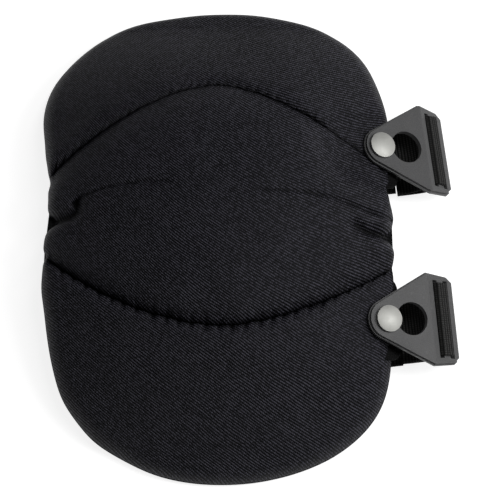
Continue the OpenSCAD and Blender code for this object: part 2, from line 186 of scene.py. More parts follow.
def near_path(x, y, path):
    """Distance to a path of points, and how far along it the nearest point lies, from 0 to 1."""
    path = np.array(path, float)
    lengths = np.linalg.norm(np.diff(path, axis=0), axis=1)
    total, run = lengths.sum(), 0.0
    best = np.full(x.shape, 1e9)
    along = np.zeros(x.shape)
    for a, b, length in zip(path[:-1], path[1:], lengths):
        d = (b - a) / length
        k = np.clip((x - a[0]) * d[0] + (y - a[1]) * d[1], 0, length)
        dist = np.hypot(x - a[0] - d[0] * k, y - a[1] - d[1] * k)
        closer = dist < best
        best = np.where(closer, dist, best)
        along = np.where(closer, (run + k) / total, along)
        run += length
    return best, along


# Creases that are sewn or folded into the knee panel: path, depth, width, share of the depth at each end
CREASES = [
    ([(-24, 19.4), (-38, 19.2), (-51, 18.7), (-60, 17.3), (-70, 14.7), (-73.5, 11.5)], 1.5, 1.1, 0.7, 1.4),
    ([(-71.8, 12), (-72.6, 7.5), (-76, 5.4), (-82, 4.8), (-94, 4.4)], 8.0, 2.6, 0.45, 1.0),
    ([(20.8, 15.1), (32.4, 14.3), (45.8, 14.0), (62.5, 11.4), (79, 6.9), (94, 5.2)], 1.5, 1.1, 0.45, 1.5),
    ([(69.5, 0.5), (74, -2.2), (81, -2.9), (94, -3.4)], 7.5, 2.6, 0.45, 1.0),
]

# How far the sewn edge lies outside the plain outline along each side: height, size and width of each bump
EDGE_BUMPS = {
    -1: [(78, 2.6, 20), (60, 1.2, 12), (33, -1.2, 6), (26, -2.2, 4.5), (19, -0.4, 4),
         (14, -1.8, 9), (4.8, -5.0, 4.2), (-2, -0.5, 4), (-13, -1.2, 2.6), (-29, 1.0, 9),
         (-72, 0.8, 14), (-86, 2.0, 12)],
    1: [(66, 1.4, 16), (31, -1.6, 3.0), (23, -2.4, 4.2), (16.5, -1.0, 4), (7, 0.5, 3.0),
        (-3, -1.6, 2.6), (-4, -0.8, 6), (-11, 0.9, 4.0), (-19, -0.6, 2.0), (-30, 0.4, 8), (-90, 2.5, 26)],
}
# The same for the corners: place, size and width
CORNER_BUMPS = [(-62, 110, -2.8, 30), (-30, 122, -1.8, 20), (56, 113, -1.6, 22), (34, 122, -1.2, 16),
                (-52, -116, -0.9, 17), (-64, -100, 1.0, 12), (0, -125, 1.0, 30)]


def edge_shift(y, side):
    return sum(size * bell(y, at, width) for at, size, width in EDGE_BUMPS[side])


def placed(x, y, edge):
    """Plan positions with the outline's sway, bumps and notches. edge: 1 at the outline, 0 in the middle."""
    side = np.where(x < 0, -1.0, 1.0)
    amount = edge ** 6
    px = x + sway(y) + side * amount * np.where(x < 0, edge_shift(y, -1), edge_shift(y, 1))
    nx, ny = x / HALF_W ** 2, y / HALF_L ** 2
    norm = np.hypot(nx, ny) + 1e-9
    out = sum(size * np.exp(-((x - cx) ** 2 + (y - cy) ** 2) / width ** 2)
              for cx, cy, size, width in CORNER_BUMPS)
    return px + amount * out * nx / norm, y + amount * out * ny / norm


def slide_frame(which):
    """Origin at the button, on the slide's underside, and its axes: along, across, up."""
    pos = np.array(joints[which + "_button_turn"]["pos_m"]) / MM - CENTRE
    up = np.array(joints[which + "_button_turn"]["axis"])
    along = -np.array(joints[which + "_slide_pull"]["axis"])
    return pos, along, np.cross(up, along), up


def pressed(which, x, y):
    """How high the padding may stand where the slide lies on it, drawn in or swung round."""
    pos, along, _, up = slide_frame(which)
    plane = pos[2] - (up[0] * (x - pos[0]) + up[1] * (y - pos[1])) / up[2]
    h = math.atan2(along[1], along[0])
    u = (x - pos[0]) * math.cos(h) + (y - pos[1]) * math.sin(h)
    v = np.abs(-(x - pos[0]) * math.sin(h) + (y - pos[1]) * math.cos(h))
    turn = joints[which + "_button_turn"]["range_deg"][1]
    swing, flank = math.radians(turn), math.radians(FLANK + turn)
    reach = joints[which + "_slide_pull"]["range_m"][1] / MM - NOSE_AT[which]
    ax, ay = u + reach * math.cos(swing), v + reach * math.sin(swing)
    beside = ay * math.cos(flank) - ax * math.sin(flank)
    past = np.hypot(ax, v - reach * math.sin(swing))
    far = np.where(ax * math.cos(flank) + ay * math.sin(flank) > 0, np.minimum(beside, past), past)
    beyond = np.maximum(0, far - NOSE_R - 1.2)
    return np.where(x < DENT_FROM, 1000.0, plane - 0.5 + 0.5 * beyond + 0.035 * beyond ** 2)


def soft_min(a, b, k):
    """The smaller of two surfaces, rounded over where they meet."""
    return -np.logaddexp(-a / k, -b / k) * k


def roll(d, reach):
    """1 at a seam, falling to 0 over its reach like the side of a round cushion."""
    return 1 - np.sqrt(np.clip(1 - (1 - np.clip(d / reach, 0, 1)) ** 2, 0, 1))


def top_puckers(run, drift):
    """Gathers of the cloth along the upper seam, from 0 to 1."""
    return np.maximum(0, np.cos(2 * np.pi * (run + drift) / TOP_PUCKER + 0.9 * wander(run / 9, 1.3))) ** 3


def low_puckers(run, drift):
    """The same along the lower seam, where they are wider."""
    return np.maximum(0, np.cos(2 * np.pi * (run + drift) / LOW_PUCKER + 1.4 * wander(run / 8, 2.2))) ** 2


def seam_depths(s):
    """Depth of the two sewn channels at s across the pad."""
    top = 2.9 + 3.4 * smooth(np.abs(s), 0.2, 0.95)
    low = 5.6 + 0.8 * smooth(np.abs(s), 0.2, 1.0)
    return top, low


def cushion_surface(panel, s, t):
    """Outer face of a padded panel at grid values s across and t along, and the painted shade laid into its
    seams, gathers and creases.
    """
    q = plan(panel, s, t)
    x, y = q[..., 0], q[..., 1]
    rs = share(x, y)
    edge_d = np.maximum(0, rim_distance(rs, SPAN_GROWTH * np.abs(y / HALF_L) ** 3))
    base = inner_z(x, y)
    rounded = np.sqrt(np.clip(1 - (1 - np.clip(edge_d / 7.0, 0, 1)) ** 2, 0, 1))
    height = (EDGE_T + 2.2) * rounded + (PAD_T - EDGE_T - 1.6) * (1 - rs ** 0.8)

    top_depth, low_depth = seam_depths(s)
    low_edge, high_edge = plan(panel, s, np.zeros_like(t)), plan(panel, s, np.ones_like(t))
    d_low = np.hypot(x - low_edge[..., 0], y - low_edge[..., 1])
    d_high = np.hypot(x - high_edge[..., 0], y - high_edge[..., 1])
    fade = smooth(edge_d, 0.0, 6.0)
    run = s * 100
    if panel == "thigh":
        tall = roll(d_low * 0.9, 10.0)
        pucker = top_puckers(run, -0.5 * d_low)
        strength = 0.6 + 0.4 * wander(run / 6, 4.0)
        dents = 2.4 * pucker * strength * bell(d_low, 0.8, 2.2)
        # painted shade: darkens the cloth along the seam and in its gathers
        painted_shade = 0.9 * np.exp(-d_low / 1.1) + 0.8 * pucker * strength * bell(d_low, 0.8, 1.8)
        ripple = 0.5 * wander(run / 7.0, 0.4) * bell(d_low, 5, 6)
        height = height - fade * (top_depth * tall + dents - ripple)
    elif panel == "knee":
        pucker = top_puckers(run, 0.4 * d_high)
        dents = 0.8 * pucker * bell(d_high, 0.4, 1.8)
        # painted shade: darkens the cloth along both seams
        painted_shade = 0.9 * np.exp(-d_high / 1.0) + 1.0 * np.exp(-d_low / 1.6)
        low_dents = 1.2 * low_puckers(run, 0.0) * bell(d_low, 0.5, 3.0)
        height = height - fade * (top_depth * roll(d_high * 0.9, 13.0) + dents
                                  + low_depth * roll(d_low * 0.9, 13.0) + low_dents)
        for path, depth, width, first, last in CREASES:
            dist, along = near_path(x, y, path)
            size = depth * lerp(first, last, along)
            height = height - size * (0.6 * bell(dist, 0, width) + 0.4 * np.exp(-dist / width))
            # painted shade: darkens the cloth along each crease
            painted_shade = painted_shade + np.minimum(1, 0.55 + 0.08 * size) * bell(dist, 0, 0.6 + 0.12 * depth)
        # the puffy rolls between the folds at the sides
        height = height + 1.1 * smooth(-x, 70, 80) * (bell(y, 15, 5) + bell(y, -4, 5))
        height = height + 1.1 * smooth(x, 70, 80) * (bell(y, -10, 5) + 0.6 * bell(y, 2.6, 2.0))
        # a soft rise along the darts, and the shallow dish between them
        height = height - 0.5 * bell(y, 18, 7) * smooth(np.abs(x), 60, 22)
    else:
        pucker = low_puckers(run, 0.3 * d_high)
        dents = 2.0 * pucker * bell(d_high, 0.8, 3.0)
        # painted shade: darkens the cloth along the seam and in its gathers
        painted_shade = 1.0 * np.exp(-d_high / 1.2) + 0.5 * pucker * bell(d_high, 0.6, 2.4)
        ripple = 0.6 * wander(run / 8.0, 2.4) * bell(d_high, 6, 7)
        height = height - fade * (low_depth * roll(d_high * 0.9, 9.0) + dents - ripple)
    # slow unevenness of stuffed cloth
    height = height + rounded * 0.35 * (wander(x / 9.0 + y / 31.0, 0.7) + wander(y / 11.0 - x / 27.0, 1.9))

    px, py = placed(x, y, np.clip(rs, 0, 1) ** 0.5)
    z = base + height
    top = soft_min(soft_min(z, pressed("upper", px, py), 2.2), pressed("lower", px, py), 2.2)
    z = np.where(px > DENT_FROM, np.minimum(z, top), z)
    z = np.maximum(z, base + 0.4)
    return np.stack([px, py, z], -1), np.clip(painted_shade, 0, 1)


def layer_surface(panel, s, t, lift):
    """A face under the padding: lift gives its height above the inner side at each x, y."""
    q = plan(panel, s, t)
    x, y = q[..., 0], q[..., 1]
    px, py = placed(x, y, np.clip(share(x, y), 0, 1) ** 0.5)
    return np.stack([px, py, inner_z(x, y) + lift(x, y)], -1)


# ---------------------------------------------------------------- meshes

def to_world(points):
    return (np.asarray(points) + CENTRE) * MM


def slab_object(name, top, bottom, uv):
    """A closed mesh between two grids of points, in millimetres round the pad's centre."""
    nr, nc = top.shape[:2]
    verts = np.concatenate([to_world(top).reshape(-1, 3), to_world(bottom).reshape(-1, 3)])
    idx = np.arange(nr * nc).reshape(nr, nc)
    low = idx + nr * nc
    faces = []

    def quads(a, b, c, d):
        faces.append(np.stack([a.ravel(), b.ravel(), c.ravel(), d.ravel()], -1))

    quads(idx[:-1, :-1], idx[:-1, 1:], idx[1:, 1:], idx[1:, :-1])
    quads(low[:-1, :-1], low[1:, :-1], low[1:, 1:], low[:-1, 1:])
    quads(idx[0, :-1], low[0, :-1], low[0, 1:], idx[0, 1:])
    quads(idx[-1, :-1], idx[-1, 1:], low[-1, 1:], low[-1, :-1])
    quads(idx[:-1, 0], idx[1:, 0], low[1:, 0], low[:-1, 0])
    quads(idx[:-1, -1], low[:-1, -1], low[1:, -1], idx[1:, -1])
    faces = np.concatenate(faces)
    return mesh_object(name, verts, faces, np.concatenate([uv.reshape(-1, 2)] * 2))


def linked(name, data):
    obj = bpy.data.objects.new(name, data)
    bpy.context.scene.collection.objects.link(obj)
    return obj


def mesh_object(name, verts, faces, uv):
    """A smooth mesh whose map holds each vertex's cloth coordinates."""
    mesh = bpy.data.meshes.new(name)
    mesh.from_pydata(verts.tolist(), [], faces.tolist())
    layer = mesh.uv_layers.new(name="Cloth")
    loops = np.empty(len(mesh.loops), np.int64)
    mesh.loops.foreach_get("vertex_index", loops)
    layer.data.foreach_set("uv", uv[loops].astype(np.float32).ravel())
    mesh.polygons.foreach_set("use_smooth", [True] * len(mesh.polygons))
    mesh.validate()
    mesh.update()
    return linked(name, mesh)


def cloth_uv(points):
    """Cloth coordinates in metres, measured along the surface in both directions."""
    du = np.linalg.norm(np.diff(points, axis=1), axis=-1)
    dv = np.linalg.norm(np.diff(points, axis=0), axis=-1)
    u = np.concatenate([np.zeros((points.shape[0], 1)), np.cumsum(du, 1)], 1)
    u = u - u[:, points.shape[1] // 2][:, None]
    v = np.concatenate([np.zeros((1, points.shape[1])), np.cumsum(dv, 0)], 0)
    v = v - v[points.shape[0] // 2][None, :]
    return np.stack([u, v], -1) * MM


def spread(n, dense=1.0):
    """Values from 0 to 1, closer together at both ends."""
    k = np.linspace(0, 1, n)
    return lerp(k, 0.5 - 0.5 * np.cos(np.pi * k), dense)


def flat_uv(points):
    """Cloth coordinates in metres for cloth that was cut flat and drawn over the padding."""
    return points[..., :2] * MM


FINE = 1.0
cushions = {}
for panel, rows in (("thigh", 130), ("knee", 170), ("shin", 130)):
    s_line = 2 * spread(int(230 * FINE), 0.75) - 1
    t_line = spread(int(rows * FINE), 0.85)
    s_grid, t_grid = np.meshgrid(s_line, t_line)
    outer, painted_shade = cushion_surface(panel, s_grid, t_grid)
    under = layer_surface(panel, s_grid, t_grid, comfort_top)
    under[..., 2] = np.minimum(under[..., 2], outer[..., 2] - 0.2)
    cushions[panel] = slab_object(panel + "_cushion", outer, under, flat_uv(outer))
    # the painted shade of the seams, gathers and creases, kept on the mesh for the cover's colour
    depth = cushions[panel].data.attributes.new("PaintedShade", "FLOAT", "POINT")
    depth.data.foreach_set("value", np.concatenate([painted_shade.ravel(), np.zeros(painted_shade.size)]).astype(np.float32))


# The lining with its soft foam, in one piece across the back
def back_grid(lift, rows=(40, 60, 44), cols=110):
    s_line = 2 * spread(cols, 0.7) - 1
    parts = []
    for panel, n in zip(("shin", "knee", "thigh"), rows):
        t_line = np.linspace(0, 1, n)[(0 if panel == "shin" else 1):]
        s_grid, t_grid = np.meshgrid(s_line, t_line)
        parts.append(layer_surface(panel, s_grid, t_grid, lift))
    return np.concatenate(parts)


def lining_face(x, y):
    rs = share(x, y)
    tuck = 1.2 * roll(rim_distance(rs), 9.0)
    folds = 0.35 * (wander(x / 6.0 + y / 18.0, 0.2) + wander(y / 7.0 - x / 15.0, 3.1)) * (1 - rs ** 3)
    return 0.3 + tuck + folds + 0.35


back_low = back_grid(lining_face)
back_high = back_grid(lambda x, y: comfort_top(x, y) - 0.25)
lining_pad = slab_object("lining_pad", back_high, back_low, cloth_uv(back_high))

# The binding: tape folded over the pad's sewn edge, swept round the outline
RING = 420
BINDING_PROFILE = [  # growth outwards and height above the rim, round the folded tape
    (-7.0, -0.45), (-6.8, -1.0), (-5.5, -1.3), (-4.0, -1.35), (-2.5, -1.45), (-1.3, -1.4),
    (-0.6, -1.1), (-0.25, -0.5), (-0.3, 0.1), (-0.6, 0.35), (-1.2, 0.4), (-2.0, 0.3),
    (-3.0, 0.15), (-4.0, 0.05), (-5.0, -0.02), (-6.3, -0.1)]
angle = (np.arange(RING) + 0.5) * 2 * np.pi / RING


def ring_at(grow):
    """The outline's rim, grown outwards by a distance."""
    sin, cos = np.sin(angle), np.cos(angle)
    power_y = exp_y(sin)
    yn = np.sign(sin) * np.abs(sin) ** (2 / power_y)
    power_x = exp_x(yn * HALF_L)
    edge_x = np.sign(cos) * HALF_W * np.maximum(0, 1 - np.abs(yn) ** power_y) ** (1 / power_x)
    edge_y = HALF_L * yn
    px, py = placed(edge_x, edge_y, np.ones_like(edge_x))
    x = edge_x * (HALF_W + grow) / HALF_W
    y = (HALF_L + grow) * yn
    return np.stack([px + x - edge_x, py + y - edge_y, rim_z(edge_y)], -1)


def binding_tape():
    ring_run = np.concatenate([[0], np.cumsum(np.linalg.norm(np.diff(ring_at(0), axis=0), axis=1))])
    rings = []
    for grow, lift in BINDING_PROFILE:
        ring = ring_at(grow)
        ring[:, 2] += np.maximum(lift, -ring[:, 2] + 0.02)
        ring[:, 2] += 0.12 * wander(ring_run / 2.2, grow * 0.7) * (lift > 0)
        rings.append(ring)
    rows = len(BINDING_PROFILE)
    grid = np.arange(rows * RING).reshape(rows, RING)
    next_row, next_col = np.roll(grid, -1, 0), np.roll(grid, -1, 1)
    faces = np.stack([grid, next_col, np.roll(next_row, -1, 1), next_row], -1).reshape(-1, 4)
    u = np.broadcast_to(ring_run * MM, (rows, RING))
    v = np.broadcast_to(np.linspace(0, 0.02, rows)[:, None], (rows, RING))
    return mesh_object("edge_binding_tape", to_world(np.stack(rings)).reshape(-1, 3), faces,
                       np.stack([u, v], -1).reshape(-1, 2))


binding = binding_tape()


# ---------------------------------------------------------------- webbing

SLIDE_T, BEND_X = 3.0, 24.0                # the slide's thickness, and where it bends, from its nose's middle
STRAP_W, STRAP_T, RIB_H, RIB_PITCH = 38.0, 1.4, 0.22, 1.7
SLOT_AT, SLOT_W, GAP = (2.6, 10.4), 3.2, 0.3   # the slots in the wing, and the strap's clearance in them
LEG_IN, LEG_OUT = SLOT_AT[0] + SLOT_W - STRAP_T / 2 - GAP, SLOT_AT[1] + STRAP_T / 2 + GAP
BENDS = {"upper": 26.0, "lower": 22.0}     # bend of each slide's wing, in degrees
RUN_Z, LOOP_END, TAIL_LIFT = 4.2, 8.0, STRAP_T + 0.2
STRAP_LEFT, SPLIT = -164.0, -24.0          # where the run ends, and where its slack part ends
BINDING_T, PATCH_GAP = 1.5, 1.2


def frame_points(which, points):
    """Points given along, across and up in a slide's frame, as points round the pad's centre."""
    pos, along, across, up = slide_frame(which)
    points = np.asarray(points)
    return pos + points[..., :1] * along + points[..., 1:2] * across + points[..., 2:] * up


def leaned(points, angle):
    """Points turned about the along axis, in radians."""
    x, y, z = points[..., 0], points[..., 1], points[..., 2]
    sin, cos = math.sin(angle), math.cos(angle)
    return np.stack([x, y * cos - z * sin, y * sin + z * cos], -1)


def bezier(p, n):
    t = np.linspace(0, 1, n)[:, None]
    p = [np.array(k, float) for k in p]
    return (1 - t) ** 3 * p[0] + 3 * t * (1 - t) ** 2 * p[1] + 3 * t * t * (1 - t) * p[2] + t ** 3 * p[3]


def resample(route, step):
    """The route at even steps along its length."""
    run = np.concatenate([[0], np.cumsum(np.linalg.norm(np.diff(route, axis=0), axis=1))])
    n = max(2, int(round(run[-1] / step)) + 1)
    at = np.linspace(0, run[-1], n)
    return np.stack([np.interp(at, run, route[:, k]) for k in range(route.shape[1])], -1), at


def edge_rounding(v, least):
    """How thick a band is across its width, for v from -1 to 1: rounded off at its two selvedges."""
    return np.sqrt(np.clip(1 - (np.clip(np.abs(v) - 0.96, 0, 1) / 0.04) ** 2, 0, 1)) * (1 - least) + least


def band_columns(count):
    return np.concatenate([[-1, -0.992, -0.975], np.linspace(-0.94, 0.94, count), [0.975, 0.992, 1]])


def band_object(name, route, place, step=0.2):
    """An elastic strap along a route in the x-z plane. place moves its points to their place on the pad."""
    route, run = resample(np.asarray(route, float), step)
    tangent = np.gradient(route, axis=0)
    tangent /= np.linalg.norm(tangent, axis=1)[:, None]
    normal = np.stack([-tangent[:, 1], tangent[:, 0]], -1)
    v = band_columns(33)
    ribs = RIB_H * (np.abs(np.sin(np.pi * run / RIB_PITCH)) - 0.6)
    half = (STRAP_T / 2 + ribs)[:, None] * edge_rounding(v, 0.15)[None, :]
    shape = (len(route), len(v))
    across = np.broadcast_to(v * STRAP_W / 2, shape)

    def face(sign):
        x = route[:, :1] + sign * normal[:, :1] * half
        z = route[:, 1:] + sign * normal[:, 1:] * half
        return place(np.stack([x, across, z], -1), route)

    uv = np.stack([np.broadcast_to(run[:, None], shape), across], -1) * MM
    top, bottom = face(1), face(-1)
    # the columns are reversed so that the top's faces look outwards
    return slab_object(name, top[:, ::-1], bottom[:, ::-1], uv[:, ::-1])


def strap_pieces(which):
    """The turn over the slide's bar with its tail, and the run under the pad in two lengths."""
    pos, along, across, _ = slide_frame(which)
    bend = math.radians(BENDS[which])
    slope = math.asin(-along[2])
    head = math.atan2(along[1], along[0])
    lean = math.asin(-across[2] / math.cos(slope))
    total = slope + bend
    bend_x = BEND_X + NOSE_AT[which]

    def in_wing(p):
        q = np.array(p, float) - [bend_x * math.cos(slope), pos[2] - bend_x * math.sin(slope)]
        return np.array([q[0] * math.cos(total) - q[1] * math.sin(total),
                         q[0] * math.sin(total) + q[1] * math.cos(total)])

    top = SLIDE_T + 0.25 + STRAP_T / 2
    turn = 1.1
    quarter = np.radians(np.arange(0, 91, 15))
    tail = [in_wing([LOOP_END, RUN_Z + TAIL_LIFT]), in_wing([17, RUN_Z + TAIL_LIFT]),
            [LEG_IN, -4.0], [LEG_IN, -1.5]]
    route = np.concatenate([
        bezier(tail, 24),
        np.stack([LEG_IN + turn * (1 - np.cos(quarter)), top - turn + turn * np.sin(quarter)], -1),
        np.stack([LEG_OUT - turn * (1 - np.sin(quarter)), top - turn + turn * np.cos(quarter)], -1),
        bezier([[LEG_OUT, -1.5], [LEG_OUT, -7.5], in_wing([19, RUN_Z]), in_wing([LOOP_END, RUN_Z])], 24)])

    def on_wing(p, _):
        x, z = p[..., 0], p[..., 2]
        lifted = np.stack([bend_x + x * math.cos(bend) + z * math.sin(bend), p[..., 1],
                           -x * math.sin(bend) + z * math.cos(bend)], -1)
        return frame_points(which, lifted)

    loop = band_object(which + "_strap_turn", route, on_wing)

    left_y = pos[1] + STRAP_LEFT * math.sin(head)
    left_slope = float(rim_z(left_y + 1) - rim_z(left_y - 1)) / 2
    left_z = float(rim_z(left_y)) - BINDING_T - PATCH_GAP - STRAP_T / 2
    ground = STRAP_T / 2 + GAP

    def on_ground(p, route):
        z, right = route[:, 1], route[:, 0] > -60
        rise = np.clip((z - ground) / np.where(right, 3, 7), 0, 1)
        tilt = rise * np.where(right, -math.tan(lean), left_slope)
        x, y = p[..., 0], p[..., 1]
        return np.stack([pos[0] + x * math.cos(head) - y * math.sin(head),
                         pos[1] + x * math.sin(head) + y * math.cos(head), p[..., 2] + tilt[:, None] * y], -1)

    falling = bezier([[LOOP_END, RUN_Z], [LOOP_END - 8, RUN_Z],
                      [LOOP_END - 16, ground], [LOOP_END - 26, ground]], 30)
    near = np.concatenate([falling, [[SPLIT, ground]]])
    rising = bezier([[-124, ground], [-140, ground], [STRAP_LEFT + 14, left_z], [STRAP_LEFT, left_z]], 30)
    far = np.concatenate([[[SPLIT, ground], [-60, ground], [-110, ground]], rising])
    slack = band_object(which + "_strap_slack", near, on_ground, step=0.3)
    run = band_object(which + "_strap_run", far, on_ground, step=0.4)
    ends = [to_world(on_ground(np.array([[[x, 0.0, 2.0]]]), np.array([[x, ground]])))[0, 0]
            for x in (LOOP_END, SPLIT, SPLIT - 40)]
    return loop, slack, run, ends


def tab_piece(which):
    """The webbing tab under the slide, its root under the pad's edge."""
    root, tip, half, thick, corner = -7.0, 9.6, 21.0, 1.6, 5
    lean, shift = (math.radians(5), 0.0) if which == "upper" else (math.radians(-5), 0.9)
    shoulder = tip - corner
    rounding = shoulder + corner * np.sin(np.radians(np.linspace(6, 90, 14)))
    u = np.concatenate([np.linspace(root, shoulder, 22), rounding])
    grid_u, grid_v = np.meshgrid(u, band_columns(41), indexing="ij")
    turn = 1 - np.sqrt(np.clip(1 - ((grid_u - tip + corner) / corner) ** 2, 0, 1))
    narrow = np.where(grid_u > shoulder, corner * turn, 0)
    taper = 0.05 * np.clip(grid_u - 2, 0, 20)
    y = grid_v * (half - narrow - taper)
    edge = edge_rounding(grid_v, 0.2)
    fold = 0.25 * wander(y / 5.0 + grid_u / 9.0, 0.9)
    droop = -0.012 * np.clip(grid_u, 0, 30) ** 2
    mid = -4.2 + fold + droop
    faces = []
    for sign in (1, -1):
        p = np.stack([grid_u, y + shift, mid + sign * thick / 2 * edge], -1)
        faces.append(frame_points(which, leaned(p, -lean)))
    uv = np.stack([grid_u, y], -1) * MM
    return slab_object(which + "_tab_webbing", faces[0][:, ::-1], faces[1][:, ::-1], uv[:, ::-1])


# ---------------------------------------------------------------- materials

class Nodes:
    """Shorthand for building a node material."""

    def __init__(self, name):
        self.mat = bpy.data.materials.new(name)
        self.mat.use_nodes = True
        self.tree = self.mat.node_tree
        self.bsdf = next(n for n in self.tree.nodes if n.type == "BSDF_PRINCIPLED")

    def add(self, kind, inputs=None, **settings):
        node = self.tree.nodes.new(kind)
        for key, value in settings.items():
            setattr(node, key, value)
        for key, value in (inputs or {}).items():
            self.put(node.inputs[key], value)
        return node

    def put(self, socket, value):
        if isinstance(value, bpy.types.NodeSocket):
            self.tree.links.new(value, socket)
        else:
            socket.default_value = value

    def math(self, operation, a, b=0.0):
        node = self.add("ShaderNodeMath", operation=operation)
        for socket, value in zip(node.inputs, (a, b)):
            self.put(socket, value)
        return node.outputs[0]

    def uv(self):
        return self.add("ShaderNodeUVMap", uv_map="Cloth").outputs[0]

    def split(self, vector):
        node = self.add("ShaderNodeSeparateXYZ", {0: vector})
        return node.outputs[0], node.outputs[1]

    def noise(self, vector, scale, detail=3.0, rough=0.55):
        inputs = {"Vector": vector, "Scale": scale, "Detail": detail, "Roughness": rough}
        return self.add("ShaderNodeTexNoise", inputs).outputs[0]

    def ramp(self, value, low, high, a=0.0, b=1.0):
        inputs = {"Value": value, "From Min": low, "From Max": high, "To Min": a, "To Max": b}
        return self.add("ShaderNodeMapRange", inputs).outputs[0]

    def mix(self, factor, a, b):
        node = self.add("ShaderNodeMix", data_type="RGBA")
        self.put(node.inputs[0], factor)
        for socket, value in ((node.inputs[6], a), (node.inputs[7], b)):
            self.put(socket, (*value, 1.0) if isinstance(value, tuple) and len(value) == 3 else value)
        return node.outputs[2]

    def bump(self, height, distance, strength=1.0):
        inputs = {"Height": height, "Distance": distance, "Strength": strength}
        return self.add("ShaderNodeBump", inputs).outputs[0]

    def finish(self, **sockets):
        for key, value in sockets.items():
            self.put(self.bsdf.inputs[key.replace("_", " ")], value)
        return self.mat


def twill(name, slope, turn, pitch, dark, light, depth=0.00035, rough=0.55, with_painted_shade=True):
    """Woven cloth with fine diagonal lines: slope is theirs, and turn is how it changes per metre across. The
    weave's light colour paints highlights on the yarn tops, and its dark colour paints shade in the gaps
    between them.
    """
    n = Nodes(name)
    u, v = n.split(n.uv())
    object_co = n.add("ShaderNodeTexCoord").outputs["Object"]
    bend = n.math("MULTIPLY", n.math("SUBTRACT", n.noise(object_co, 40.0, 1.0), 0.5), pitch * 2.0)
    size = math.hypot(1.0, slope)
    line = n.math("SUBTRACT", v, n.math("MULTIPLY", u, slope))
    line = n.math("SUBTRACT", line, n.math("MULTIPLY", n.math("MULTIPLY", u, u), turn / 2))
    line = n.math("DIVIDE", n.math("ADD", n.math("DIVIDE", line, size), bend), pitch)
    along = n.math("ADD", n.math("MULTIPLY", u, 1 / size), n.math("MULTIPLY", v, slope / size))
    number = n.math("FLOOR", line)
    beads = n.math("ADD", n.math("DIVIDE", along, pitch * 0.8), n.math("MULTIPLY", number, 0.37))
    rib = n.math("ABSOLUTE", n.math("SINE", n.math("MULTIPLY", line, math.pi)))
    bead = n.math("ABSOLUTE", n.math("SINE", n.math("MULTIPLY", beads, math.pi)))
    cell = n.add("ShaderNodeCombineXYZ", {0: number, 1: n.math("FLOOR", beads)})
    chance = n.add("ShaderNodeTexWhiteNoise", {"Vector": cell.outputs[0]}, noise_dimensions="2D").outputs[0]
    weave = n.math("MULTIPLY", n.math("POWER", rib, 3.0), n.math("ADD", n.math("MULTIPLY", bead, 0.6), 0.4))
    # painted glints: each yarn bump's brightness scaled at random from 0.6 to 2 times
    painted_glint = n.ramp(n.math("POWER", chance, 1.6), 0.0, 1.0, 0.6, 2.0)
    fuzz = n.noise(object_co, 1500.0, 2.0, 0.6)
    worn = n.ramp(n.noise(object_co, 26.0, 4.0), 0.35, 0.7, 0.85, 1.15)
    fuzzy = n.math("MULTIPLY", weave, n.ramp(fuzz, 0.3, 0.7, 0.6, 1.4))
    tone = n.math("MULTIPLY", fuzzy, n.math("MULTIPLY", worn, painted_glint))
    if with_painted_shade:
        # painted shade: the stored fold shade darkens the cloth's colour, down to 6 % in the deepest seams
        # and creases
        painted_fold_shade = n.add("ShaderNodeAttribute", attribute_name="PaintedShade").outputs["Fac"]
        tone = n.math("MULTIPLY", tone, n.ramp(painted_fold_shade, 0.0, 1.0, 1.0, 0.06))
    lint = n.ramp(n.noise(object_co, 900.0, 1.0), 0.76, 0.8)
    # the weave's lines in colour, partly real pattern and partly painted light: highlight on the yarn tops,
    # shade in the gaps
    colour = n.mix(n.math("MULTIPLY", lint, 0.2), n.mix(tone, dark, light), (0.10, 0.10, 0.11))
    height = n.math("ADD", weave, n.math("MULTIPLY", fuzz, 0.4))
    normal = n.bump(height, depth, 0.8)
    n.bsdf.inputs["Specular IOR Level"].default_value = 0.08
    return n.finish(Base_Color=colour, Roughness=rough, Normal=normal)


def webbing(name, dark, light, rib_pitch, column_pitch):
    """Narrow woven band: ribs across it and columns of stitches along it."""
    n = Nodes(name)
    u, v = n.split(n.uv())
    object_co = n.add("ShaderNodeTexCoord").outputs["Object"]
    rib = n.math("ABSOLUTE", n.math("SINE", n.math("MULTIPLY", u, math.pi / rib_pitch)))
    zig = n.math("ABSOLUTE", n.math("SUBTRACT", n.math("FRACT", n.math("DIVIDE", v, column_pitch)), 0.5))
    slanted = n.math("ADD", n.math("DIVIDE", u, rib_pitch), n.math("MULTIPLY", zig, 0.7))
    column = n.math("ABSOLUTE", n.math("SINE", n.math("MULTIPLY", v, math.pi / column_pitch)))
    stitch = n.math("ABSOLUTE", n.math("SINE", n.math("MULTIPLY", slanted, math.pi)))
    columns = n.math("ADD", n.math("MULTIPLY", column, 0.6), 0.4)
    stitches = n.math("ADD", n.math("MULTIPLY", stitch, 0.6), 0.4)
    weave = n.math("MULTIPLY", columns, stitches)
    fuzz = n.noise(object_co, 1400.0, 2.0)
    tone = n.math("MULTIPLY", n.math("MULTIPLY", weave, rib), n.ramp(fuzz, 0.3, 0.7, 0.6, 1.4))
    normal = n.bump(n.math("ADD", weave, n.math("MULTIPLY", fuzz, 0.3)), 0.00025, 0.9)
    n.bsdf.inputs["Specular IOR Level"].default_value = 0.08
    return n.finish(Base_Color=n.mix(tone, dark, light), Roughness=0.72, Normal=normal)


